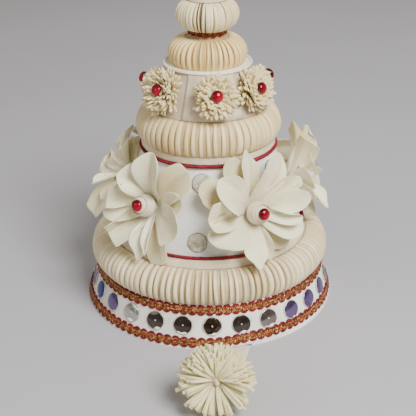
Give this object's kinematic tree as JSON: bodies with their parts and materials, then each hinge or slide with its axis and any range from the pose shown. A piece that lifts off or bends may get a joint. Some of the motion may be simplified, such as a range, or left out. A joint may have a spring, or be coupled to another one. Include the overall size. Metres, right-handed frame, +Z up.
{
  "type": "groom's wedding headdress",
  "caption": "Tall tiered conical pith headdress with pleated rings, a mirror band, petal and tufted flowers, red cords, and a loose pompom on a strap; open below for the head.",
  "frame": {"origin": "centre of the rim, on the surface that the headdress stands on", "axes": "+Z up along the cone's axis; the front, with the loose pompom, faces -Y"},
  "size_m": [0.2088, 0.3079, 0.2991],
  "materials": {
    "white_paper": "matt white paper over card, a little worn at the edge",
    "gold_braid": "copper-gold woven braid with red scalloped edges",
    "mirror_glass": "small round glass mirrors with rough glued edges",
    "pleated_pith": "cream shola pith fins, satin, darker in the folds",
    "glazed_paper": "glossy white paper",
    "pith_strip": "cream pith sheet",
    "red_cord": "fine red ribbed cord",
    "pith_sheet": "cream pith sheet with slanting seams",
    "petal_pith": "thin white shola pith, satin",
    "tuft_pith": "narrow cream pith strips",
    "red_gem": "glossy domed red stone",
    "strap_cloth": "flat off-white strap"
  },
  "bodies": {
    "root": {"base_band": "white_paper", "lower_braid": "gold_braid", "upper_braid": "gold_braid", "neck_braid": "gold_braid", "band_mirrors": "mirror_glass", "drum_mirrors": "mirror_glass", "pleated_ring_1": "pleated_pith", "pleated_ring_2": "pleated_pith", "pleated_ring_3": "pleated_pith", "pleated_ring_4": "pleated_pith", "drum": "glazed_paper", "lower_strip": "pith_strip", "upper_strip": "pith_strip", "lower_cord": "red_cord", "upper_cord": "red_cord", "small_drum": "pith_sheet", "small_drum_lid": "pith_sheet", "collar": "pith_strip", "finial": "pith_sheet", "pompom": "tuft_pith", "pompom_strap": "strap_cloth", "petals_1": "petal_pith", "bud_1": "petal_pith", "gem_1": "red_gem", "petals_2": "petal_pith", "bud_2": "petal_pith", "gem_2": "red_gem", "petals_3": "petal_pith", "bud_3": "petal_pith", "gem_3": "red_gem", "petals_4": "petal_pith", "bud_4": "petal_pith", "gem_4": "red_gem", "petals_5": "petal_pith", "bud_5": "petal_pith", "gem_5": "red_gem", "petals_6": "petal_pith", "bud_6": "petal_pith", "gem_6": "red_gem", "tuft_1": "tuft_pith", "tuft_gem_1": "red_gem", "tuft_2": "tuft_pith", "tuft_gem_2": "red_gem", "tuft_3": "tuft_pith", "tuft_gem_3": "red_gem", "tuft_4": "tuft_pith", "tuft_gem_4": "red_gem", "tuft_5": "tuft_pith", "tuft_gem_5": "red_gem", "tuft_6": "tuft_pith", "tuft_gem_6": "red_gem", "tuft_7": "tuft_pith", "tuft_gem_7": "red_gem"}
  },
  "joints": []
}
